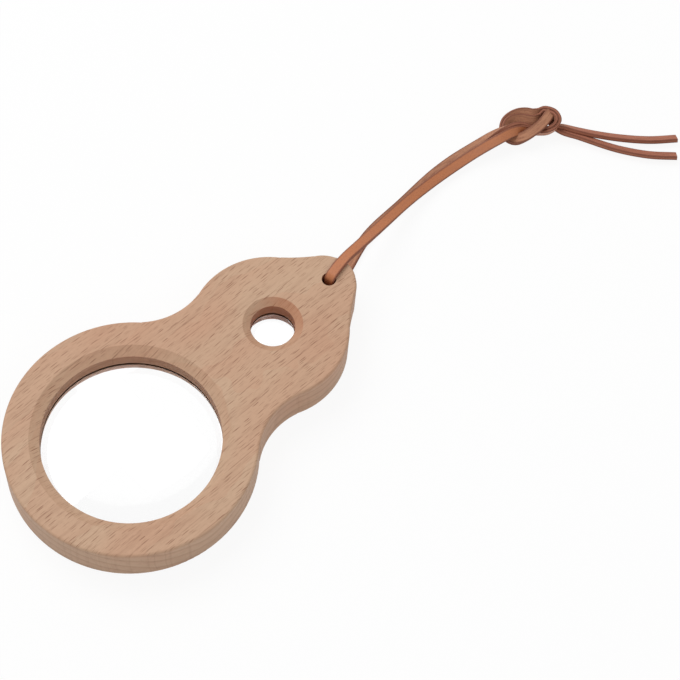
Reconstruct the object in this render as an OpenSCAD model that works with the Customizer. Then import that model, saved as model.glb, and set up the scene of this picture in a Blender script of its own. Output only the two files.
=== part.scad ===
// Wooden magnifying glass: a flat beech board with a large and a small lens, on a knotted leather lace.
// The board lies flat, its underside at z = 0. +X runs from the large head to the nose with the lace hole.

/* [Board] */
// Thickness of the board
board_t = 15.8; // [13:0.1:22]
// Radius of the round head
head_r = 42; // [38:0.5:50]
// Radius of the shoulder around the small opening
shoulder_r = 27; // [22:0.5:32]
// Distance from the centre of the head to the centre of the shoulder
shoulder_gap = 60.7; // [56:0.1:68]
// Radius of the nose
nose_r = 9.2; // [7.5:0.1:12]
// Distance from the centre of the head to the centre of the nose
nose_gap = 87.8; // [82:0.1:96]
// Radius of the hollows at the waist
waist_r = 24.3; // [18:0.1:40]
// Radius of the cheeks of the nose, where it is widest
cheek_r = 11.4; // [10:0.1:13]
// Distance from the centre of the head to the centre of the cheeks
cheek_gap = 85.2; // [84:0.1:87]
// Radius of the hollow flanks between the shoulder and the nose
flank_r = 64; // [50:1:90]
// Rounding of the outer edges
edge_r = 1; // [0.4:0.1:2]

/* [Sight openings] */
// Radius of the large sight opening
large_sight_r = 29.8; // [24:0.1:34]
// Width of the large opening's bevel at the top face
large_bevel_w = 3.4; // [1:0.1:5]
// Depth of the large opening's bevel
large_bevel = 2; // [1:0.1:3]
// Distance from the centre of the head to the centre of the small opening
small_gap = 62.1; // [59:0.1:65]
// Radius of the small sight opening
small_sight_r = 7.6; // [6:0.1:9]
// Width of the small opening's bevel at the top face
small_bevel_w = 2.6; // [1:0.1:4]
// Depth of the small opening's bevel
small_bevel = 1.9; // [1:0.1:3]
// Height of the lens seats above the underside
seat_z = 9; // [8.5:0.1:10]

/* [Lenses] */
// How far the lenses reach behind the edge of their sight openings
lens_lap = 1.5; // [1:0.1:3]
// Bulge of each face of the large lens
large_bulge = 3.2; // [1.5:0.1:3.6]
// Bulge of each face of the small lens
small_bulge = 0.8; // [0.6:0.1:2.4]
// Thickness of both lenses at the edge
lens_edge = 2.5; // [1.5:0.1:3.5]
// Play between a lens and its seat
lens_play = 0.15; // [0.05:0.05:0.4]

/* [Retaining rings] */
// How far the rings stay above the underside
ring_inset = 0.8; // [0.2:0.1:1.5]
// Play between a ring and its seat
ring_play = 0.1; // [0.05:0.05:0.3]

/* [Lace] */
// Width of the flat lace
lace_w = 3.8; // [3:0.1:4.2]
// Thickness of the lace
lace_t = 1.5; // [1:0.1:1.8]
// Thickness of the lace where the knot squeezes it
knot_t = 1.2; // [0.8:0.1:1.4]
// Bevel at the corners of the lace
lace_corner = 0.35; // [0.1:0.05:0.4]
// Radius of the lace hole
hole_r = 2.5; // [2.3:0.1:3.5]
// Direction in which the lace leaves the hole, in degrees to the left of the board's axis
lace_way = 14; // [6:1:20]
// Inner radius of the lace's bends at the hole
bend_r = 1.2; // [0.8:0.1:1.3]
// Play between the lace and the wood
lace_play = 0.05; // [0.02:0.01:0.2]
// Room beside the lace in the groove under the nose
groove_side = 0.5; // [0.3:0.1:0.6]
// Room above and below the lace in the groove
groove_room = 0.3; // [0.1:0.1:1]

/* [Hidden] */
$fn = 96;

length = head_r + nose_gap + nose_r;
head_x = head_r - length / 2;
shoulder_x = head_x + shoulder_gap;
small_x = head_x + small_gap;
cheek_x = head_x + cheek_gap;
nose_x = head_x + nose_gap;
large_lens_r = large_sight_r + lens_lap;
small_lens_r = small_sight_r + lens_lap;

// Centre of a circle of radius r that touches two circles centred at x1 and x2 on the axis
function touching(x1, r1, x2, r2, r) =
    let (d = x2 - x1, a = r1 + r, b = r2 + r, u = (d * d + a * a - b * b) / (2 * d))
    [x1 + u, sqrt(a * a - u * u)];
function mirrored(p) = [p[0], -p[1]];
function angle_from(x, c) = atan2(c[1], c[0] - x);

waist = touching(head_x, head_r, shoulder_x, shoulder_r, waist_r);
flank = touching(shoulder_x, shoulder_r, cheek_x, cheek_r, flank_r);

// The board's section from a centre out to radius r, with eased upper and lower edges
module eased_section(r) {
    square([r - edge_r, board_t]);
    translate([0, edge_r]) square([r, board_t - 2 * edge_r]);
    translate([r - edge_r, edge_r]) circle(r = edge_r);
    translate([r - edge_r, board_t - edge_r]) circle(r = edge_r);
}

// A disc of the board with eased edges
module eased_disc(x, r) {
    translate([x, 0, 0])
        rotate_extrude()
            eased_section(r);
}

// What is taken away beside a hollow stretch of the outline, leaving the edges eased
module hollow_cutter(c, r) {
    over = 1;
    translate([c[0], c[1], 0])
        rotate_extrude($fn = 720)
            difference() {
                translate([0, -over]) square([r + edge_r, board_t + 2 * over]);
                translate([r, edge_r]) square([edge_r + over, board_t - 2 * edge_r]);
                translate([r + edge_r, edge_r]) circle(r = edge_r, $fn = 96);
                translate([r + edge_r, board_t - edge_r]) circle(r = edge_r, $fn = 96);
            }
}

// A hollow stretch starts where it has parted from its neighbour's circle by a hair's breadth, as it could
// have no edge of its own where the two circles touch. How far along the axis its first point is moved:
hair = 0.1;
function start_shift(x, r1, c, r) =
    sqrt(2 * hair / (1 / r1 + 1 / r)) * (r1 + r) / (r * sin(angle_from(x, c)));

// A hollow stretch of the board between two discs
module hollow_stretch(x1, r1, x2, r2, c, r) {
    difference() {
        linear_extrude(board_t)
            polygon([[x1 + start_shift(x1, r1, c, r), 0], c, [x2 - start_shift(x2, r2, c, r), 0], mirrored(c)]);
        hollow_cutter(c, r);
        hollow_cutter(mirrored(c), r);
    }
}

module outline_solid() {
    union() {
        eased_disc(head_x, head_r);
        eased_disc(shoulder_x, shoulder_r);
        eased_disc(cheek_x, cheek_r);
        eased_disc(nose_x, nose_r);
        hollow_stretch(head_x, head_r, shoulder_x, shoulder_r, waist, waist_r);
        hollow_stretch(shoulder_x, shoulder_r, cheek_x, cheek_r, flank, flank_r);
    }
}

// A sight opening: the seat for lens and ring from below, the bore, and the bevel at the top face
module sight_cut(x, lens_r, sight_r, bevel_w, bevel) {
    over = 1;
    translate([x, 0, 0]) {
        translate([0, 0, -over]) cylinder(h = seat_z + over, r = lens_r + lens_play);
        cylinder(h = board_t, r = sight_r);
        translate([0, 0, board_t - bevel])
            cylinder(h = bevel + over, r1 = sight_r, r2 = sight_r + bevel_w * (1 + over / bevel));
    }
}

// The groove under the nose in which the lower strand passes, so that the board lies flat
groove_w = lace_w + 2 * groove_side;
groove_d = lace_t + groove_room;
module lace_groove() {
    over = 1;
    translate([nose_x, 0, -over])
        rotate([0, 0, lace_way])
            translate([0, -groove_w / 2, 0])
                cube([nose_r + over, groove_w, groove_d + over]);
}

module board() {
    over = 1;
    color("burlywood")
        difference() {
            outline_solid();
            sight_cut(head_x, large_lens_r, large_sight_r, large_bevel_w, large_bevel);
            sight_cut(small_x, small_lens_r, small_sight_r, small_bevel_w, small_bevel);
            translate([nose_x, 0, -over]) cylinder(h = board_t + 2 * over, r = hole_r);
            lace_groove();
        }
}

// A lens that bulges on both faces inside its sight opening, with a flat rim that lies against the seat
module lens(x, r, sight_r, bulge) {
    low = seat_z - lens_edge;
    dome_edge = sight_r - lens_play;
    dome_r = (dome_edge * dome_edge + bulge * bulge) / (2 * bulge);
    translate([x, 0, 0])
        rotate_extrude($fn = 360)
            union() {
                translate([0, low]) square([r, lens_edge]);
                intersection() {
                    translate([0, low - bulge]) square([dome_edge, lens_edge + 2 * bulge]);
                    translate([0, seat_z + bulge - dome_r]) circle(r = dome_r, $fn = 720);
                    translate([0, low - bulge + dome_r]) circle(r = dome_r, $fn = 720);
                }
            }
}

module large_lens() {
    color("lightcyan") lens(head_x, large_lens_r, large_sight_r, large_bulge);
}

module small_lens() {
    color("lightcyan") lens(small_x, small_lens_r, small_sight_r, small_bulge);
}

// A plain wooden ring that holds a lens against its seat from below
module retaining_ring(x, lens_r, sight_r) {
    over = 1;
    top = seat_z - lens_edge;
    translate([x, 0, ring_inset])
        difference() {
            cylinder(h = top - ring_inset, r = lens_r + lens_play - ring_play);
            translate([0, 0, -over]) cylinder(h = top - ring_inset + 2 * over, r = sight_r);
        }
}

module large_lens_ring() {
    color("tan") retaining_ring(head_x, large_lens_r, large_sight_r);
}

module small_lens_ring() {
    color("tan") retaining_ring(small_x, small_lens_r, small_sight_r);
}

// Corners of the lace's section, width first, anticlockwise as seen from ahead
function section(t) =
    let (w = lace_w / 2, h = t / 2, c = lace_corner)
    [[w, c - h], [w, h - c], [w - c, h], [c - w, h], [-w, h - c], [-w, c - h], [c - w, -h], [w - c, -h]];

// The lace stands in the hole and bends over its upper and lower edge
bend_mid = bend_r + lace_t / 2;
leg_out = hole_r - lace_play - bend_mid;
mouth_out = hole_r - lace_play;
upper_z = board_t + lace_play + lace_t / 2;
lower_z = groove_d - lace_play - lace_t / 2;

// A quarter turn of the lace, from standing at the origin to level and heading for +X
module quarter_bend() {
    translate([bend_mid, 0, 0])
        mirror([1, 0, 0])
            rotate([90, 0, 0])
                rotate_extrude(angle = 90)
                    translate([bend_mid, 0])
                        polygon([for (p = section(lace_t)) [p[1], p[0]]]);
}

module lace_in_hole() {
    foot = lower_z + bend_mid;
    head = upper_z - bend_mid;
    color("sienna")
        translate([nose_x, 0, 0])
            rotate([0, 0, lace_way])
                translate([leg_out, 0, 0])
                    union() {
                        translate([0, 0, foot])
                            linear_extrude(head - foot)
                                polygon([for (p = section(lace_t)) [p[1], p[0]]]);
                        translate([0, 0, head]) quarter_bend();
                        translate([0, 0, foot]) mirror([0, 0, 1]) quarter_bend();
                    }
}

// Each row of a route is [x, y, z, turn]: the middle of the lace, and the way its smooth face looks,
// 0 for up, 90 for the right-hand side of its travel and 180 for down
way = [cos(lace_way), sin(lace_way)];
mouth = [nose_x, 0] + mouth_out * way;
first_step = 3;
function leaving(z, turn) =
    [[mouth[0], mouth[1], z, turn], [mouth[0] + first_step * way[0], mouth[1] + first_step * way[1], z, turn]];

upper_lead = concat(leaving(upper_z, 0), [
    [70.5, 2.2, 16.3, -6], [76.5, 3.1, 14.9, -4], [88, 5.4, 10.6, 6], [112, 9.1, 4.1, 24],
    [122, 9.4, 2.9, 26], [132, 8.8, 2.9, 26], [139.5, 7.8, 3.7, 28], [150, 5.1, 6.3, 33], [155, 4.3, 6, 41],
    [159.2, 3.4, 4.1, 60], [161.8, 1.9, 2.5, 80]]);
lower_lead = concat(leaving(lower_z, 180), [
    [73.5, 4.2, 0.9, 180], [87, 9, 0.9, 180], [107, 10.9, 0.9, 180],
    [126, 12.2, 0.9, 180], [133.5, 11.9, 1, 178], [140, 10.9, 1.8, 170], [144.9, 9.9, 3, 157],
    [149, 8.9, 4.6, 142], [153.5, 7.5, 6, 124], [158.2, 6.2, 5.2, 108], [161.2, 4.6, 3.4, 98]]);
upper_end = [
    [170.9, -5.7, 2.1, 138], [174.1, -11.3, 1.9, 143], [182.1, -25.9, 1.7, 149],
    [188.3, -34.1, 1.7, 150], [195.2, -40.8, 1.7, 150]];
lower_end = [
    [172.8, -4.9, 2.1, 138], [175.9, -9.6, 1.9, 143], [185.8, -22.4, 1.7, 149],
    [193, -29.7, 1.7, 150], [200.8, -35.7, 1.7, 150]];

// The doubled lace through the overhand knot: the middle of the pair, the way from the upper strand to the
// lower one, 0 for the left-hand side of its travel and 90 for up, and how far the two have slipped apart
knot = [
    [163.7, 0.8, 2.1, 10, 0], [166.9, -3, 3.8, 18, 0], [168.8, -3.8, 5.2, 15, 0], [170.7, -3.4, 6, 5, 0],
    [171.9, -1.9, 6, -8, 0], [172.6, 0, 5.6, -18, 0], [172.3, 2, 5, -15, 0], [171.2, 3.5, 4.5, 5, 0],
    [169.2, 3.9, 3.6, 28, 1.2], [167.1, 5.1, 2.9, 45, 2.2], [165.8, 7.2, 2.5, 45, 2.2],
    [164.2, 8.9, 2.2, 45, 1.8], [161.8, 10, 2.2, 45, 1], [159.1, 10.2, 2.2, 42, 0.4],
    [156.7, 9.2, 2.3, 44, 0], [155, 7.3, 2.3, 58, 0], [154.6, 5, 2.3, 82, 0], [155.3, 2.6, 2.8, 102, 0],
    [157.8, 0.8, 4.2, 111, 0], [161.2, -0.2, 5.6, 110, 0], [165, -0.4, 6.1, 108, 0], [168.7, 0.3, 6, 104, 0],
    [171.4, 1.1, 5.2, 98, 0], [171.7, 0.3, 3.9, 86, 0], [171.3, -1.1, 2.8, 66, 0], [170.9, -3.2, 2.3, 48, 0]];
// The knot's row at which a run ends and its tail begins, on top of the loop
knot_top = 10;
knot_play = 0.02;

function middle(row) = [row[0], row[1], row[2]];
function unit(v) = v / norm(v);
function travel(rows, i) = unit(middle(rows[min(i + 1, len(rows) - 1)]) - middle(rows[max(i - 1, 0)]));
function left_of(t) = unit(cross([0, 0, 1], t));
function smooth_way(t, turn) = cross(t, left_of(t)) * cos(turn) - left_of(t) * sin(turn);
function with_thickness(rows, t) = [for (r = rows) concat(r, t)];

// One strand's rows in the knot: side is -1 for the upper strand and 1 for the lower one
function beside(rows, side) = [for (i = [0:len(rows) - 1])
    let (t = travel(rows, i), turn = rows[i][3] + 90, slip = rows[i][4], n = smooth_way(t, turn),
        apart = n * (knot_t / 2 + knot_play) + cross(n, t) * slip / 2)
    concat(middle(rows[i]) - apart * side, turn, knot_t)];

upper_route = concat(with_thickness(upper_lead, lace_t), beside(knot, -1), with_thickness(upper_end, lace_t));
lower_route = concat(with_thickness(lower_lead, lace_t), beside(knot, 1), with_thickness(lower_end, lace_t));

// The lace's section set square on row i of a route
function ring(rows, i) =
    let (t = travel(rows, i), n = smooth_way(t, rows[i][3]), w = cross(n, t))
    [for (p = section(rows[i][4])) middle(rows[i]) + w * p[0] + n * p[1]];

// The lace swept from one row of a route to another
module swept(rows, first, last) {
    rings = [for (i = [first:last]) ring(rows, i)];
    sides = len(rings[0]);
    steps = len(rings) - 1;
    end = steps * sides;
    walls = [for (i = [0:steps - 1], j = [0:sides - 1])
        let (a = i * sides, b = a + sides, k = (j + 1) % sides)
        each [[a + j, b + j, b + k], [a + j, b + k, a + k]]];
    start_cap = [for (j = [1:sides - 2]) [0, j, j + 1]];
    end_cap = [for (j = [1:sides - 2]) [end, end + j + 1, end + j]];
    polyhedron(points = [for (r = rings) each r], faces = concat(walls, start_cap, end_cap));
}

upper_split = len(upper_lead) + knot_top;
lower_split = len(lower_lead) + knot_top;

module lace_upper_run() {
    color("sienna") swept(upper_route, 0, upper_split);
}

module lace_upper_tail() {
    color("sienna") swept(upper_route, upper_split, len(upper_route) - 1);
}

module lace_lower_run() {
    color("peru") swept(lower_route, 0, lower_split);
}

module lace_lower_tail() {
    color("peru") swept(lower_route, lower_split, len(lower_route) - 1);
}

board();
large_lens();
large_lens_ring();
small_lens();
small_lens_ring();
lace_in_hole();
lace_upper_run();
lace_upper_tail();
lace_lower_run();
lace_lower_tail();
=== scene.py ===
"""Wooden magnifying glass: a flat beech board with a large and a small lens, on a knotted leather lace.

Lengths are in metres, in the frame of the CAD model: the board lies flat with its underside at z = 0, and
+X runs from the large head to the nose with the lace hole.
"""

import math

import bpy
from bpy.props import FloatProperty, FloatVectorProperty, PointerProperty
from mathutils import Matrix, Vector


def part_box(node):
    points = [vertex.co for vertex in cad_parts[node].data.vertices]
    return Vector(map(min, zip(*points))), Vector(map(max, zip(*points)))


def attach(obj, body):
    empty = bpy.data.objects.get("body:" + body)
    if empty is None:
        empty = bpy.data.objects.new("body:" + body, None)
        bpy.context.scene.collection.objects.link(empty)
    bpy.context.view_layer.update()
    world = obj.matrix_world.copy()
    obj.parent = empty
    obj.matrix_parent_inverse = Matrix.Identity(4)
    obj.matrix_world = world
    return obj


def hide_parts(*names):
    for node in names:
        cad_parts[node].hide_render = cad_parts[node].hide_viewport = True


bl_info = {
    "name": "Wooden magnifying glass",
    "version": (1, 0, 0),
    "blender": (4, 5, 0),
    "location": "View3D > Sidebar > Magnifier",
    "description": "Builds a beech hand magnifier with two lenses and a knotted leather lace",
    "category": "Object",
}

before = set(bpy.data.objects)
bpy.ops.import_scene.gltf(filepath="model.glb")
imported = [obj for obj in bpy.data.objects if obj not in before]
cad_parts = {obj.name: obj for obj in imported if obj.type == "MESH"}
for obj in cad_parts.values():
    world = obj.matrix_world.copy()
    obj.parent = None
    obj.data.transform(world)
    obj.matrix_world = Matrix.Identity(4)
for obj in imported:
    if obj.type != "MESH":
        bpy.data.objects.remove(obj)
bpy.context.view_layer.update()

MM = 0.001


def linear(code):
    """Turns an sRGB hex colour such as "C09C82" into the linear values that Blender works with."""
    parts = [int(code[i:i + 2], 16) / 255 for i in (0, 2, 4)]
    return tuple(p / 12.92 if p <= 0.04045 else ((p + 0.055) / 1.055) ** 2.4 for p in parts)


# Sizes and colours

class MagnifierSizes(bpy.types.PropertyGroup):
    """Sizes of the pieces that are modelled here"""
    lace_width: FloatProperty(
        name="Lace width", description="Width of the flat lace", default=3.8 * MM, min=1 * MM, unit="LENGTH")
    lace_corner: FloatProperty(
        name="Lace corner", description="Rounding of the lace's corners", default=0.35 * MM, min=0.05 * MM,
        unit="LENGTH")
    large_bulge: FloatProperty(
        name="Large lens bulge", description="How far each face of the large lens stands out",
        default=3.2 * MM, min=0.5 * MM, unit="LENGTH")
    small_bulge: FloatProperty(
        name="Small lens bulge", description="How far each face of the small lens stands out",
        default=0.8 * MM, min=0.3 * MM, unit="LENGTH")
    lens_rim: FloatProperty(
        name="Lens rim", description="Width of the flat rim that lies in the seat", default=1.65 * MM,
        min=0.5 * MM, unit="LENGTH")
    fleck_length: FloatProperty(
        name="Fleck length", description="Length of the dark flecks in the beech", default=4.2 * MM,
        min=0.5 * MM, unit="LENGTH")
    fleck_width: FloatProperty(
        name="Fleck width", description="Width of the dark flecks in the beech", default=0.3 * MM,
        min=0.1 * MM, unit="LENGTH")


class MagnifierColours(bpy.types.PropertyGroup):
    """Colours of the wood, the leather and the lenses"""
    beech: FloatVectorProperty(
        name="Beech", description="Ground colour of the wood", subtype="COLOR", size=3, min=0, max=1,
        default=linear("C1A084"))
    beech_pink: FloatVectorProperty(
        name="Pinkish beech", description="Colour of the pinkish patches in the wood", subtype="COLOR",
        size=3, min=0, max=1, default=linear("BD9074"))
    beech_fleck: FloatVectorProperty(
        name="Flecks", description="Colour of the short dark flecks", subtype="COLOR", size=3, min=0, max=1,
        default=linear("7E5238"))
    beech_scorched: FloatVectorProperty(
        name="Scorched walls", description="Colour of the cutter's scorch on the walls of the openings",
        subtype="COLOR", size=3, min=0, max=1, default=linear("A85C30"))
    leather_smooth: FloatVectorProperty(
        name="Smooth side", description="Colour of the lace's smooth side", subtype="COLOR", size=3, min=0,
        max=1, default=linear("B7724A"))
    leather_rough: FloatVectorProperty(
        name="Rough side", description="Colour of the lace's rough side", subtype="COLOR", size=3, min=0,
        max=1, default=linear("B48062"))
    leather_edge: FloatVectorProperty(
        name="Cut edge", description="Colour of the lace's cut edges", subtype="COLOR", size=3, min=0, max=1,
        default=linear("A2674E"))
    leather_end: FloatVectorProperty(
        name="Rough side near the ends", description="Colour of the rough side near the lace's ends",
        subtype="COLOR", size=3, min=0, max=1, default=linear("A96852"))
    # Darkens the fibres and grit. Along the edges it is partly the leather's own line and partly painted
    # shade for the gaps between strands.
    leather_fibre_and_edge_shade: FloatVectorProperty(
        name="Line beside the edges", description="Colour of the thin dark line beside the cut edges",
        subtype="COLOR", size=3, min=0, max=1, default=linear("6A3A2A"))


# Small tools

def add(tree, kind, inputs=None, out=0, **settings):
    """Adds a shader node with its settings, gives each input a value or the socket that feeds it, and returns
    one of its outputs."""
    made = tree.nodes.new("ShaderNode" + kind)
    for key, value in settings.items():
        setattr(made, key, value)
    for key, value in (inputs or {}).items():
        if isinstance(value, bpy.types.NodeSocket):
            tree.links.new(value, made.inputs[key])
        else:
            made.inputs[key].default_value = value
    return made.outputs[out] if made.outputs else made


def new_material(name):
    """A material with an empty node tree."""
    material = bpy.data.materials.new(name)
    material.use_nodes = True
    material.node_tree.nodes.clear()
    return material, material.node_tree


def colour(value):
    """A colour's three values with full opacity."""
    return (*value, 1)


def select_only(piece):
    """Selects one piece and makes it the active one."""
    bpy.ops.object.select_all(action="DESELECT")
    piece.select_set(True)
    bpy.context.view_layer.objects.active = piece


def turned(name, outline, centre_x, steps):
    """A piece turned about an upright axis from an outline of (radius, height) points, as on a lathe."""
    bpy.ops.object.select_all(action="DESELECT")
    bpy.ops.mesh.primitive_circle_add(vertices=len(outline), radius=outline[1][0], location=(0, 0, 0))
    piece = bpy.context.object
    piece.name = piece.data.name = name
    for point, (radius, height) in zip(piece.data.vertices, outline):
        point.co = (centre_x + radius, 0, height)
    bpy.ops.object.mode_set(mode="EDIT")
    bpy.ops.mesh.select_all(action="SELECT")
    bpy.ops.mesh.spin(steps=steps, angle=2 * math.pi, center=(centre_x, 0, 0), axis=(0, 0, 1))
    bpy.ops.mesh.select_all(action="SELECT")
    bpy.ops.mesh.remove_doubles(threshold=1e-6)
    bpy.ops.mesh.delete_loose(use_verts=True, use_edges=True, use_faces=False)
    bpy.ops.mesh.select_all(action="SELECT")
    bpy.ops.mesh.normals_make_consistent(inside=False)
    bpy.ops.object.mode_set(mode="OBJECT")
    select_only(piece)
    bpy.ops.object.shade_smooth_by_angle(angle=math.radians(35))
    return piece


# The lace's route

# The centres of the large opening, the small opening and the lace hole, in millimetres along the board.
HEAD_X = -27.5
SMALL_X = 34.6
NOSE_X = 60.3
# The lace leaves the hole at this angle to the board's axis, and at these places, in millimetres.
WAY = math.radians(14)
MOUTH_OUT = 2.45
UPPER_Z = 16.6
LOWER_Z = 1
FIRST_STEP = 3
# The middle of the lace's bends at the hole, its thickness outside and inside the knot, and the play there.
BEND_MID = 1.95
LACE_T = 1.5
KNOT_T = 1.2
KNOT_PLAY = 0.02
# How far apart the cross-sections of the dressed lace are.
LACE_STEP = 0.8


def leaving(z, turn):
    """The first two rows of a strand, straight out of the lace hole."""
    out = Vector((math.cos(WAY), math.sin(WAY)))
    start = Vector((NOSE_X, 0)) + MOUTH_OUT * out
    return [(*start, z, turn), (*(start + FIRST_STEP * out), z, turn)]


# Each row is (x, y, z, turn) in millimetres: the middle of the lace, and the way its smooth side looks, 0 for
# up, 90 for the right-hand side of its travel and 180 for down.
UPPER_LEAD = leaving(UPPER_Z, 0) + [
    (70.5, 2.2, 16.3, -6), (76.5, 3.1, 14.9, -4), (88, 5.4, 10.6, 6), (112, 9.1, 4.1, 24),
    (122, 9.4, 2.9, 26), (132, 8.8, 2.9, 26), (139.5, 7.8, 3.7, 28), (150, 5.1, 6.3, 33), (155, 4.3, 6, 41),
    (159.2, 3.4, 4.1, 60), (161.8, 1.9, 2.5, 80)]
LOWER_LEAD = leaving(LOWER_Z, 180) + [
    (73.5, 4.2, 0.9, 180), (87, 9, 0.9, 180), (107, 10.9, 0.9, 180),
    (126, 12.2, 0.9, 180), (133.5, 11.9, 1, 178), (140, 10.9, 1.8, 170), (144.9, 9.9, 3, 157),
    (149, 8.9, 4.6, 142), (153.5, 7.5, 6, 124), (158.2, 6.2, 5.2, 108), (161.2, 4.6, 3.4, 98)]
UPPER_END = [
    (170.9, -5.7, 2.1, 138), (174.1, -11.3, 1.9, 143), (182.1, -25.9, 1.7, 149),
    (188.3, -34.1, 1.7, 150), (195.2, -40.8, 1.7, 150)]
LOWER_END = [
    (172.8, -4.9, 2.1, 138), (175.9, -9.6, 1.9, 143), (185.8, -22.4, 1.7, 149),
    (193, -29.7, 1.7, 150), (200.8, -35.7, 1.7, 150)]
# The doubled lace through the knot: the middle of the pair, the way from the upper strand to the lower one,
# 0 for the left-hand side of its travel and 90 for up, and how far the two have slipped off each other.
KNOT = [
    (163.7, 0.8, 2.1, 10, 0), (166.9, -3, 3.8, 18, 0), (168.8, -3.8, 5.2, 15, 0), (170.7, -3.4, 6, 5, 0),
    (171.9, -1.9, 6, -8, 0), (172.6, 0, 5.6, -18, 0), (172.3, 2, 5, -15, 0), (171.2, 3.5, 4.5, 5, 0),
    (169.2, 3.9, 3.6, 28, 1.2), (167.1, 5.1, 2.9, 45, 2.2), (165.8, 7.2, 2.5, 45, 2.2),
    (164.2, 8.9, 2.2, 45, 1.8), (161.8, 10, 2.2, 45, 1), (159.1, 10.2, 2.2, 42, 0.4),
    (156.7, 9.2, 2.3, 44, 0), (155, 7.3, 2.3, 58, 0), (154.6, 5, 2.3, 82, 0), (155.3, 2.6, 2.8, 102, 0),
    (157.8, 0.8, 4.2, 111, 0), (161.2, -0.2, 5.6, 110, 0), (165, -0.4, 6.1, 108, 0), (168.7, 0.3, 6, 104, 0),
    (171.4, 1.1, 5.2, 98, 0), (171.7, 0.3, 3.9, 86, 0), (171.3, -1.1, 2.8, 66, 0), (170.9, -3.2, 2.3, 48, 0)]


def travel_at(rows, i):
    """The way the lace heads at one of its rows."""
    return (Vector(rows[min(i + 1, len(rows) - 1)][:3]) - Vector(rows[max(i - 1, 0)][:3])).normalized()


def smooth_way(travel, turn):
    """The way the smooth side looks, for a lace that heads along travel."""
    left = Vector((0, 0, 1)).cross(travel).normalized()
    angle = math.radians(turn)
    return travel.cross(left) * math.cos(angle) - left * math.sin(angle)


def beside(rows, side):
    """One strand's rows in the knot: side is -1 for the upper strand and 1 for the lower one."""
    made = []
    for i, row in enumerate(rows):
        travel = travel_at(rows, i)
        turn, slip = row[3] + 90, row[4]
        smooth = smooth_way(travel, turn)
        apart = smooth * (KNOT_T / 2 + KNOT_PLAY) + smooth.cross(travel) * slip / 2
        made.append((*(Vector(row[:3]) - apart * side), turn, KNOT_T))
    return made


def with_thickness(rows):
    """Rows outside the knot, with the lace's full thickness added."""
    return [(*row, LACE_T) for row in rows]


UPPER_ROUTE = with_thickness(UPPER_LEAD) + beside(KNOT, -1) + with_thickness(UPPER_END)
LOWER_ROUTE = with_thickness(LOWER_LEAD) + beside(KNOT, 1) + with_thickness(LOWER_END)


def smoothed(rows, step):
    """The route on one smooth curve through its rows, with a row about every step millimetres.

    At each row the curve heads for the mean of its two neighbours' ways, the nearer one counting for more.
    """
    last = len(rows) - 1
    gaps = [(Vector(b[:3]) - Vector(a[:3])).length for a, b in zip(rows, rows[1:])]
    slopes = [[(b - a) / gap for a, b in zip(rows[i], rows[i + 1])] for i, gap in enumerate(gaps)]
    rates = [slopes[0]]
    for i in range(1, last):
        before, after = gaps[i - 1], gaps[i]
        rates.append([(p * after + q * before) / (before + after) for p, q in zip(slopes[i - 1], slopes[i])])
    rates.append(slopes[-1])
    made = []
    for i, gap in enumerate(gaps):
        count = max(1, round(gap / step))
        for k in range(count):
            s = k / count
            share_start, share_end = 2 * s ** 3 - 3 * s ** 2 + 1, 3 * s ** 2 - 2 * s ** 3
            lift_start, lift_end = (s ** 3 - 2 * s ** 2 + s) * gap, (s ** 3 - s ** 2) * gap
            made.append(tuple(
                share_start * start + lift_start * rate_start + share_end * end + lift_end * rate_end
                for start, end, rate_start, rate_end in zip(rows[i], rows[i + 1], rates[i], rates[i + 1])))
    made.append(tuple(rows[-1]))
    return made


def lace_section(width, thickness, corner, steps=4):
    """Points round the lace's rounded section, as (across, up), anticlockwise as seen from ahead."""
    w, h = width / 2 - corner, thickness / 2 - corner
    points = []
    for cx, cy, start in ((w, h, 0), (-w, h, 90), (-w, -h, 180), (w, -h, 270)):
        for k in range(steps + 1):
            a = math.radians(start + 90 * k / steps)
            points.append((cx + corner * math.cos(a), cy + corner * math.sin(a)))
        if cy * cx > 0:
            points += [(cx * f, math.copysign(thickness / 2, cy)) for f in (0.8, 0.5, 0, -0.5, -0.8)]
        else:
            points.append((math.copysign(width / 2, cx), 0))
    return points


def framed(rows):
    """Each row as (middle, way of travel, way the smooth side looks, thickness)."""
    made = []
    for i, row in enumerate(rows):
        travel = travel_at(rows, i)
        made.append((Vector(row[:3]), travel, smooth_way(travel, row[3]), row[4]))
    return made


def through_hole():
    """The lace in its hole: in level from below, up, and out level at the top, smooth side outwards."""
    out, up = Vector((math.cos(WAY), math.sin(WAY), 0)), Vector((0, 0, 1))
    bends = []
    for height, turned_by in ((LOWER_Z + BEND_MID, 0), (UPPER_Z - BEND_MID, 90)):
        pivot = Vector((NOSE_X, 0, 0)) + out * MOUTH_OUT + up * height
        for k in range(13):
            angle = math.radians(turned_by + 90 * k / 12)
            smooth = -up * math.cos(angle) - out * math.sin(angle)
            travel = up * math.sin(angle) - out * math.cos(angle)
            bends.append((pivot + smooth * BEND_MID, travel, smooth, LACE_T))
    return bends


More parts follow.
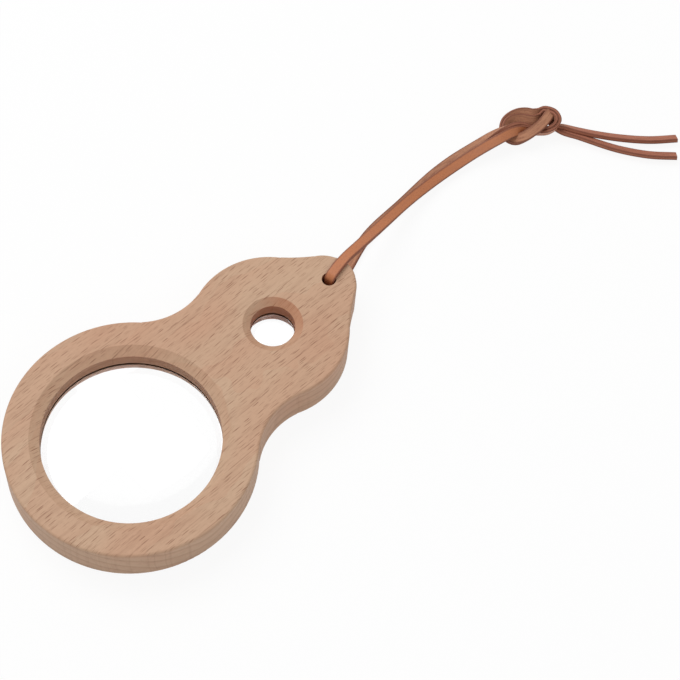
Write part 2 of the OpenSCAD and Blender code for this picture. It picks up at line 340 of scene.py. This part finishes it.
def swept_lace(name, frames, width, corner, start=0):
    """A stretch of lace along frames, in millimetres, with closed ends.

    It carries four attributes for its leather: "along" and "round" are distances in metres, "side" runs from
    1 on the smooth side over 0 on the cut edges to -1 on the rough side, and "line" is 1 at the corners and
    fades within 0.6 mm. The leather darkens there, partly in the edge's own colour and partly as painted
    shade for the gaps between strands.
    """
    points, faces = [], []
    values = {"along": [], "round": [], "side": [], "line": []}
    travelled = start
    half_width, corner = width / MM / 2, corner / MM
    for i, (here, travel, up, thickness) in enumerate(frames):
        if i:
            travelled += (here - frames[i - 1][0]).length * MM
        ring = lace_section(2 * half_width, thickness, corner)
        walked = 0
        for k, (a, b) in enumerate(ring):
            if k:
                walked += math.dist(ring[k - 1], (a, b)) * MM
            points.append((here + up.cross(travel) * a + up * b) * MM)
            on_edge = abs(a) > half_width - 0.05
            level = 0 if on_edge else b / (thickness / 2 - 0.7 * corner)
            apart = math.dist((abs(a), abs(b)), (half_width, thickness / 2))
            values["along"].append(travelled)
            values["round"].append(walked)
            values["side"].append(max(-1, min(1, level)))
            values["line"].append(max(0, min(1, (0.6 - apart) / 0.4)))
    sides = len(points) // len(frames)
    last = len(points) - sides
    for first in range(0, last, sides):
        for k in range(sides):
            n = (k + 1) % sides
            faces.append((first + k, first + sides + k, first + sides + n, first + n))
    faces += [tuple(range(sides)), tuple(last + k for k in reversed(range(sides)))]
    mesh = bpy.data.meshes.new(name)
    mesh.from_pydata(points, [], faces)
    for key, entries in values.items():
        mesh.attributes.new(key, "FLOAT", "POINT").data.foreach_set("value", entries)
    piece = bpy.data.objects.new(name, mesh)
    bpy.context.scene.collection.objects.link(piece)
    select_only(piece)
    bpy.ops.object.mode_set(mode="EDIT")
    bpy.ops.mesh.select_all(action="SELECT")
    bpy.ops.mesh.normals_make_consistent(inside=False)
    bpy.ops.object.mode_set(mode="OBJECT")
    bpy.ops.object.shade_smooth_by_angle(angle=math.radians(50))
    return piece


# Materials

def flecks(tree, grain, cell, half, seed):
    """Thin flecks along the grain, one in each cell of a loose pattern: 1 on a fleck and 0 beside it."""
    scaled = add(tree, "Mapping", {
        "Vector": grain, "Location": (seed, seed * 0.7, 0), "Scale": (1 / cell[0], 1 / cell[1], 1)})
    middle = add(tree, "TexVoronoi", {"Vector": scaled, "Scale": 1.0}, out="Position",
                 voronoi_dimensions="2D")
    away = add(tree, "VectorMath", {0: scaled, 1: middle}, operation="SUBTRACT")
    stretch = (cell[0] / half[0], cell[1] / half[1], 0)
    away = add(tree, "VectorMath", {0: away, 1: stretch}, operation="MULTIPLY")
    distance = add(tree, "VectorMath", {0: away}, out="Value", operation="LENGTH")
    inside = add(tree, "MapRange", {
        "Value": distance, "From Min": 0.55, "From Max": 1.0, "To Min": 1.0, "To Max": 0.0})
    chance = add(tree, "SeparateColor", {"Color": middle.node.outputs["Color"]})
    strength = add(tree, "MapRange", {"Value": chance, "From Min": 0.15, "From Max": 0.9})
    return add(tree, "Math", {0: inside, 1: strength}, operation="MULTIPLY")


def beech(name, colours, sizes, offset):
    """Sanded and lightly oiled beech, sawn flat.

    Thin dark ray flecks lie along the grain on the flat faces and hardly show on the upright ones, where the
    growth rings are cut across and show as darker lines. The walls of the openings are scorched a little by
    the cutter. The finish is matt.
    """
    material, tree = new_material(name)
    place = add(tree, "TexCoord", out="Object")
    start = add(tree, "Mapping", {"Vector": place, "Location": offset})
    # The grain wanders a little from the board's axis.
    drift = add(tree, "Mapping", {"Vector": start, "Scale": (18, 30, 30)})
    drift = add(tree, "TexNoise", {"Vector": drift, "Scale": 1.0, "Detail": 2.0}, out="Color")
    bent = add(tree, "VectorMath", {0: drift, 1: (0.5, 0.5, 0.5)}, operation="SUBTRACT")
    bent = add(tree, "VectorMath", {0: bent, 1: (0.0, 0.0035, 0.002)}, operation="MULTIPLY")
    grain = add(tree, "VectorMath", {0: start, 1: bent}, operation="ADD")

    normal = add(tree, "SeparateXYZ", {0: add(tree, "NewGeometry", out="Normal")}, out=2)
    facing = add(tree, "Math", {0: normal}, operation="ABSOLUTE")
    end_grain = add(tree, "MapRange", {
        "Value": normal.node.outputs["X"], "From Min": -0.1, "From Max": -0.5, "To Min": 0.15})
    flat = add(tree, "MapRange", {"Value": facing, "From Min": 0.25, "From Max": 0.9, "To Min": 0.25})
    upright = add(tree, "MapRange", {
        "Value": facing, "From Min": 0.15, "From Max": 0.6, "To Min": 1.0, "To Max": 0.0})

    # Three sizes of fleck: the strong ones that catch the eye, fine short ones, and long faint ones.
    length, width = sizes.fleck_length, sizes.fleck_width
    strong = flecks(tree, grain, (5.8 * MM, 1.5 * MM), (length / 2, width / 2), 3.1)
    fine = flecks(tree, grain, (3.9 * MM, 1.0 * MM), (length * 0.35, width * 0.4), 11.7)
    long = flecks(tree, grain, (19 * MM, 2.3 * MM), (length * 2.0, width * 0.5), 23.3)

    # Growth rings, with their middle some way under the board, end in a thin dark line.
    rings = add(tree, "Mapping", {"Vector": grain, "Location": (0, 0.006, 0.055)})
    rings = add(tree, "TexWave", {
        "Vector": rings, "Scale": 75.0, "Distortion": 5.0, "Detail": 2.0, "Detail Scale": 0.6},
        out="Fac", wave_type="RINGS", rings_direction="X", wave_profile="SAW")
    streaks = add(tree, "Mapping", {"Vector": grain, "Scale": (45, 700, 480)})
    streaks = add(tree, "TexNoise", {"Vector": streaks, "Scale": 1.0, "Detail": 3.0, "Roughness": 0.6})
    patches = add(tree, "Mapping", {"Vector": start, "Scale": (20, 40, 40)})
    patches = add(tree, "TexNoise", {"Vector": patches, "Scale": 1.0, "Detail": 2.0})
    pores = add(tree, "Mapping", {"Vector": grain, "Scale": (700, 4200, 3000)})
    pores = add(tree, "TexNoise", {"Vector": pores, "Scale": 1.0, "Detail": 2.0})

    # The cutter has scorched the end grain on the nose side most, and the small opening more than the large
    # one: (centre, reach, share on the bevel, share on the wall).
    scorched = 0.0
    sloping = add(tree, "Math", {0: facing, 1: 0.95}, operation="LESS_THAN")
    for centre, reach, bevelled, walled in (
            (HEAD_X * MM, 33.5 * MM, 0.0, 0.45), (SMALL_X * MM, 10.4 * MM, 0.6, 1.0),
            (NOSE_X * MM, 3.2 * MM, 0.0, 1.0)):
        away = add(tree, "VectorMath", {0: place, 1: (centre, 0, 0)}, operation="SUBTRACT")
        away = add(tree, "VectorMath", {0: away, 1: (1, 1, 0)}, operation="MULTIPLY")
        away = add(tree, "VectorMath", {0: away}, out="Value", operation="LENGTH")
        near = add(tree, "Math", {0: away, 1: reach}, operation="LESS_THAN")
        where = add(tree, "Math", {0: sloping, 1: bevelled}, operation="MULTIPLY")
        where = add(tree, "Math", {0: where, 1: end_grain}, operation="MULTIPLY")
        wall = add(tree, "Math", {0: upright, 1: walled}, operation="MULTIPLY")
        where = add(tree, "Math", {0: where, 1: wall}, operation="MAXIMUM")
        near = add(tree, "Math", {0: near, 1: where}, operation="MULTIPLY")
        scorched = add(tree, "Math", {0: scorched, 1: near}, operation="MAXIMUM")

    ground = colour(colours.beech)
    for pattern, low, high, most, where, tint in (
            (patches, 0.45, 0.7, 0.7, None, colours.beech_pink),
            (rings, 0.0, 1.0, 0.35, None, colours.beech_pink),
            (rings, 0.6, 1.0, 0.28, upright, colours.beech_fleck),
            (streaks, 0.48, 0.8, 0.26, None, colours.beech_fleck),
            (pores, 0.5, 0.75, 0.15, None, colours.beech_fleck),
            (long, 0.0, 1.0, 0.5, flat, colours.beech_fleck),
            (fine, 0.0, 1.0, 0.55, flat, colours.beech_fleck),
            (strong, 0.0, 1.0, 0.85, flat, colours.beech_fleck),
            (scorched, 0.0, 1.0, 0.7, None, colours.beech_scorched)):
        share = add(tree, "MapRange", {"Value": pattern, "From Min": low, "From Max": high, "To Max": most})
        if where:
            share = add(tree, "Math", {0: share, 1: where}, operation="MULTIPLY")
        ground = add(tree, "Mix", {0: share, 6: ground, 7: colour(tint)}, out=2, data_type="RGBA")
    relief = add(tree, "Math", {0: pores, 1: strong}, operation="SUBTRACT")
    bump = add(tree, "Bump", {"Strength": 0.25, "Distance": 0.05 * MM, "Height": relief})
    shader = add(tree, "BsdfPrincipled", {
        "Base Color": ground, "Roughness": 0.62, "IOR": 1.45, "Normal": bump})
    add(tree, "OutputMaterial", {"Surface": shader})
    return material


def clear_glass(name):
    """Ground and polished crown glass: colourless and free of specks, it only bends and mirrors the light."""
    material, tree = new_material(name)
    shader = add(tree, "BsdfPrincipled", {
        "Base Color": (1, 1, 1, 1), "Roughness": 0.0, "IOR": 1.5, "Transmission Weight": 1.0})
    add(tree, "OutputMaterial", {"Surface": shader})
    return material


def lace_leather(name, colours):
    """Vegetable-tanned cowhide, cut to a flat lace.

    The smooth side is orange-brown with a soft gloss and a fine grain. The rough side is pinker, matt and
    fibrous, and redder towards the ends. The cut edges are dark. A thin dark line beside them is partly the
    leather's own and partly painted shade for the dark gaps where strands lie against each other.
    """
    material, tree = new_material(name)
    side = add(tree, "Attribute", out="Fac", attribute_name="side")
    line = add(tree, "Attribute", out="Fac", attribute_name="line")
    along = add(tree, "Attribute", out="Fac", attribute_name="along")
    around = add(tree, "Attribute", out="Fac", attribute_name="round")
    track = add(tree, "CombineXYZ", {0: along, 1: around, 2: 0.0})
    # Real fibres and grain are finer: they are drawn at 0.7 mm, so that they show.
    fibres = add(tree, "Mapping", {"Vector": track, "Scale": (220, 1500, 1)})
    fibres = add(tree, "TexNoise", {"Vector": fibres, "Scale": 1.0, "Detail": 4.0})
    mottle = add(tree, "Mapping", {"Vector": track, "Scale": (150, 420, 1)})
    mottle = add(tree, "TexNoise", {"Vector": mottle, "Scale": 1.0, "Detail": 3.0})
    grit = add(tree, "Mapping", {"Vector": track, "Scale": (1500, 2000, 1)})
    grit = add(tree, "TexNoise", {"Vector": grit, "Scale": 1.0, "Detail": 2.0})

    body = colour(colours.leather_edge)
    for pattern, low, high, most, tint in (
            (fibres, 0.45, 0.7, 0.6, colours.leather_fibre_and_edge_shade),
            (side, 0.1, 0.8, 1.0, colours.leather_smooth),
            (side, -0.1, -0.8, 1.0, colours.leather_rough)):
        share = add(tree, "MapRange", {"Value": pattern, "From Min": low, "From Max": high, "To Max": most})
        body = add(tree, "Mix", {0: share, 6: body, 7: colour(tint)}, out=2, data_type="RGBA")
    rough = add(tree, "MapRange", {"Value": side, "From Min": 0.1, "From Max": -0.6})
    ends = add(tree, "MapRange", {"Value": along, "From Min": 172 * MM, "From Max": 180 * MM})
    # The last entry paints a thin dark line along every edge: partly the leather's own, partly painted shade
    # for the gaps between strands.
    for pattern, low, high, most, where, tint in (
            (ends, 0.0, 1.0, 0.85, rough, colours.leather_end),
            (fibres, 0.42, 0.68, 0.5, rough, colours.leather_fibre_and_edge_shade),
            (mottle, 0.45, 0.8, 0.4, None, colours.leather_edge),
            (grit, 0.5, 0.75, 0.3, None, colours.leather_fibre_and_edge_shade),
            (line, 0.0, 0.8, 0.75, None, colours.leather_fibre_and_edge_shade)):
        share = add(tree, "MapRange", {"Value": pattern, "From Min": low, "From Max": high, "To Max": most})
        if where:
            share = add(tree, "Math", {0: share, 1: where}, operation="MULTIPLY")
        body = add(tree, "Mix", {0: share, 6: body, 7: colour(tint)}, out=2, data_type="RGBA")
    relief = add(tree, "MapRange", {"Value": side, "From Min": 0.6, "From Max": -0.2, "To Min": 0.1})
    relief = add(tree, "Math", {0: fibres, 1: relief}, operation="MULTIPLY")
    relief = add(tree, "Math", {0: relief, 1: grit}, operation="ADD")
    bump = add(tree, "Bump", {"Strength": 0.35, "Distance": 0.08 * MM, "Height": relief})
    gloss = add(tree, "MapRange", {
        "Value": side, "From Min": 0.2, "From Max": 0.9, "To Min": 0.8, "To Max": 0.48})
    shader = add(tree, "BsdfPrincipled", {
        "Base Color": body, "Roughness": gloss, "IOR": 1.45, "Normal": bump})
    add(tree, "OutputMaterial", {"Surface": shader})
    return material


# Operators

class MAGNIFIER_OT_camera(bpy.types.Operator):
    """Places the camera at the photograph's viewing angle"""
    bl_idname = "magnifier.camera"
    bl_label = "Camera"

    def execute(self, context):
        azimuth, elevation, roll = (math.radians(a) for a in (-48.212, 62.792, 5.967))
        target = Vector((53.343, -14.105, 0)) * MM
        distance = 696.869 * MM
        back = Vector((math.sin(azimuth) * math.cos(elevation), -math.cos(azimuth) * math.cos(elevation),
                       math.sin(elevation)))
        right = Vector((math.cos(azimuth), math.sin(azimuth), 0))
        up = back.cross(right)
        right, up = (
            right * math.cos(roll) + up * math.sin(roll), up * math.cos(roll) - right * math.sin(roll))
        data = bpy.data.cameras.new("camera")
        data.lens, data.sensor_width = 107.338, 36
        data.clip_start, data.clip_end = 0.01, 50
        camera = bpy.data.objects.new("camera", data)
        context.scene.collection.objects.link(camera)
        turned_to = Matrix((right, up, back)).transposed().to_4x4()
        camera.matrix_world = Matrix.Translation(target + back * distance) @ turned_to
        context.scene.camera = camera
        return {"FINISHED"}


class MAGNIFIER_OT_lace(bpy.types.Operator):
    """Lays the flat leather lace: its bend in the hole and the two strands with their shared overhand knot"""
    bl_idname = "magnifier.lace"
    bl_label = "Lace"

    def execute(self, context):
        sizes, colours = context.scene.magnifier_sizes, context.scene.magnifier_colours
        leather = lace_leather("cowhide lace, smooth side and rough side", colours)
        for name, route, nodes in (
                ("upper_strand", UPPER_ROUTE, ("lace_upper_run", "lace_upper_tail")),
                ("lower_strand", LOWER_ROUTE, ("lace_lower_run", "lace_lower_tail"))):
            rows = smoothed(route, LACE_STEP)
            strand = swept_lace(name, framed(rows), sizes.lace_width, sizes.lace_corner)
            strand.data.materials.append(leather)
            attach(strand, "root")
            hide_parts(*nodes)
            path = [tuple(c * MM for c in row[:3]) for row in rows]
            length = sum(math.dist(a, b) for a, b in zip(path, path[1:]))
        standing = through_hole()
        length = sum((b[0] - a[0]).length for a, b in zip(standing, standing[1:])) * MM
        bend = swept_lace("bend_in_hole", standing, sizes.lace_width, sizes.lace_corner, start=-length)
        bend.data.materials.append(leather)
        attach(bend, "root")
        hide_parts("lace_in_hole")
        return {"FINISHED"}


class MAGNIFIER_OT_board(bpy.types.Operator):
    """Gives the beech board its wood"""
    bl_idname = "magnifier.board"
    bl_label = "Board"

    def execute(self, context):
        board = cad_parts["board"]
        board.data.materials.clear()
        board.data.materials.append(beech(
            "beech, flat-sawn, sanded and oiled", context.scene.magnifier_colours,
            context.scene.magnifier_sizes, (0.0, 0.0, 0.0)))
        return {"FINISHED"}


class MAGNIFIER_OT_rings(bpy.types.Operator):
    """Gives the two wooden rings that hold the lenses from below their beech"""
    bl_idname = "magnifier.rings"
    bl_label = "Retaining rings"

    def execute(self, context):
        wood = beech("beech, turned rings", context.scene.magnifier_colours, context.scene.magnifier_sizes,
                     (0.13, 0.05, 0.02))
        for node in ("large_lens_ring", "small_lens_ring"):
            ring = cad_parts[node]
            ring.data.materials.clear()
            ring.data.materials.append(wood)
        return {"FINISHED"}


class MAGNIFIER_OT_lenses(bpy.types.Operator):
    """Grinds the large and the small lens"""
    bl_idname = "magnifier.lenses"
    bl_label = "Lenses"

    def execute(self, context):
        sizes = context.scene.magnifier_sizes
        glass = clear_glass("crown glass, ground and polished")
        for node, bulge in (("large_lens", sizes.large_bulge), ("small_lens", sizes.small_bulge)):
            low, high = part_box(node)
            centre_x, radius = (low[0] + high[0]) / 2, (high[0] - low[0]) / 2
            seat, under = high[2] - bulge, low[2] + bulge
            edge = radius - sizes.lens_rim
            curve = (edge * edge + bulge * bulge) / (2 * bulge)
            steps, turns = 48, 192
            dome = [(edge * k / steps, math.sqrt(curve ** 2 - (edge * k / steps) ** 2) - curve + bulge)
                    for k in range(steps + 1)]
            nick = 0.15 * MM
            outline = [(r, seat + z) for r, z in dome]
            outline += [(radius - nick, seat), (radius, seat - nick)]
            outline += [(radius, under + nick), (radius - nick, under)]
            outline += [(r, under - z) for r, z in reversed(dome)]
            lens = turned(node + "_glass", outline, centre_x, turns)
            lens.data.materials.append(glass)
            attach(lens, "root")
            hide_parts(node)
        return {"FINISHED"}


class MAGNIFIER_OT_stage(bpy.types.Operator):
    """Lays the pale floor and sets the soft studio light"""
    bl_idname = "magnifier.stage"
    bl_label = "Stage"

    def execute(self, context):
        bpy.ops.object.select_all(action="DESELECT")
        bpy.ops.mesh.primitive_plane_add(size=8, location=(0, 0, -0.00005))
        floor = context.object
        floor.name = "floor"
        material, tree = new_material("white paper floor")
        # The paper shines white through the lenses and in their faces, and keeps a faint shadow elsewhere.
        rays = add(tree, "LightPath", out="Is Camera Ray")
        mirrored, bent = rays.node.outputs["Is Glossy Ray"], rays.node.outputs["Is Transmission Ray"]
        through = add(tree, "Math", {0: mirrored, 1: bent}, operation="MAXIMUM")
        glow = add(tree, "Math", {0: rays, 1: 0.9}, operation="MULTIPLY")
        glow = add(tree, "Math", {0: glow, 1: through}, operation="MAXIMUM")
        paper = add(tree, "BsdfDiffuse", {"Color": (0.9, 0.9, 0.9, 1)})
        white = add(tree, "Emission", {"Color": (1, 1, 1, 1), "Strength": 1.0})
        add(tree, "OutputMaterial", {"Surface": add(tree, "MixShader", {0: glow, 1: paper, 2: white})})
        floor.data.materials.append(material)

        world = bpy.data.worlds.new("studio")
        world.use_nodes = True
        tree = world.node_tree
        tree.nodes.clear()
        rays = add(tree, "LightPath", out="Is Camera Ray")
        shown = rays
        for kind in ("Is Glossy Ray", "Is Transmission Ray"):
            shown = add(tree, "Math", {0: shown, 1: rays.node.outputs[kind]}, operation="MAXIMUM")
        room = add(tree, "Background", {"Color": (1, 1, 1, 1), "Strength": 0.41})
        white = add(tree, "Background", {"Color": (1, 1, 1, 1), "Strength": 1.0})
        add(tree, "OutputWorld", {"Surface": add(tree, "MixShader", {0: shown, 1: room, 2: white})})
        context.scene.world = world
        context.scene.view_settings.view_transform = "Standard"

        # The key light stands behind the board and the fill light in front of it.
        for name, place, size, power in (
                ("key", (0.05, 0.72, 1.0), 0.9, 9.9), ("fill", (-0.15, -0.7, 1.0), 0.8, 3.0)):
            data = bpy.data.lights.new(name, "AREA")
            data.energy, data.size = power, size
            lamp = bpy.data.objects.new(name, data)
            context.scene.collection.objects.link(lamp)
            lamp.location = place
            lamp.rotation_euler = (Vector(place) - Vector((0.03, 0, 0))).to_track_quat("Z", "Y").to_euler()
        return {"FINISHED"}


class MAGNIFIER_PT_panel(bpy.types.Panel):
    """Lists the pieces, sizes and colours"""
    bl_idname = "MAGNIFIER_PT_panel"
    bl_label = "Magnifier"
    bl_space_type = "VIEW_3D"
    bl_region_type = "UI"
    bl_category = "Magnifier"

    def draw(self, context):
        layout = self.layout
        for operator in OPERATORS:
            layout.operator(operator.bl_idname)
        for group in (context.scene.magnifier_sizes, context.scene.magnifier_colours):
            for key in group.bl_rna.properties.keys():
                if key not in ("rna_type", "name"):
                    layout.prop(group, key)


OPERATORS = (MAGNIFIER_OT_camera, MAGNIFIER_OT_lace, MAGNIFIER_OT_board, MAGNIFIER_OT_rings,
             MAGNIFIER_OT_lenses, MAGNIFIER_OT_stage)
CLASSES = (MagnifierSizes, MagnifierColours, *OPERATORS, MAGNIFIER_PT_panel)


def register():
    for item in CLASSES:
        bpy.utils.register_class(item)
    bpy.types.Scene.magnifier_sizes = PointerProperty(type=MagnifierSizes)
    bpy.types.Scene.magnifier_colours = PointerProperty(type=MagnifierColours)


def unregister():
    del bpy.types.Scene.magnifier_colours
    del bpy.types.Scene.magnifier_sizes
    for item in reversed(CLASSES):
        bpy.utils.unregister_class(item)


def main():
    register()
    bpy.ops.magnifier.camera()
    bpy.ops.magnifier.lace()
    bpy.ops.magnifier.board()
    bpy.ops.magnifier.rings()
    bpy.ops.magnifier.lenses()
    bpy.ops.magnifier.stage()


if __name__ == "__main__":
    main()
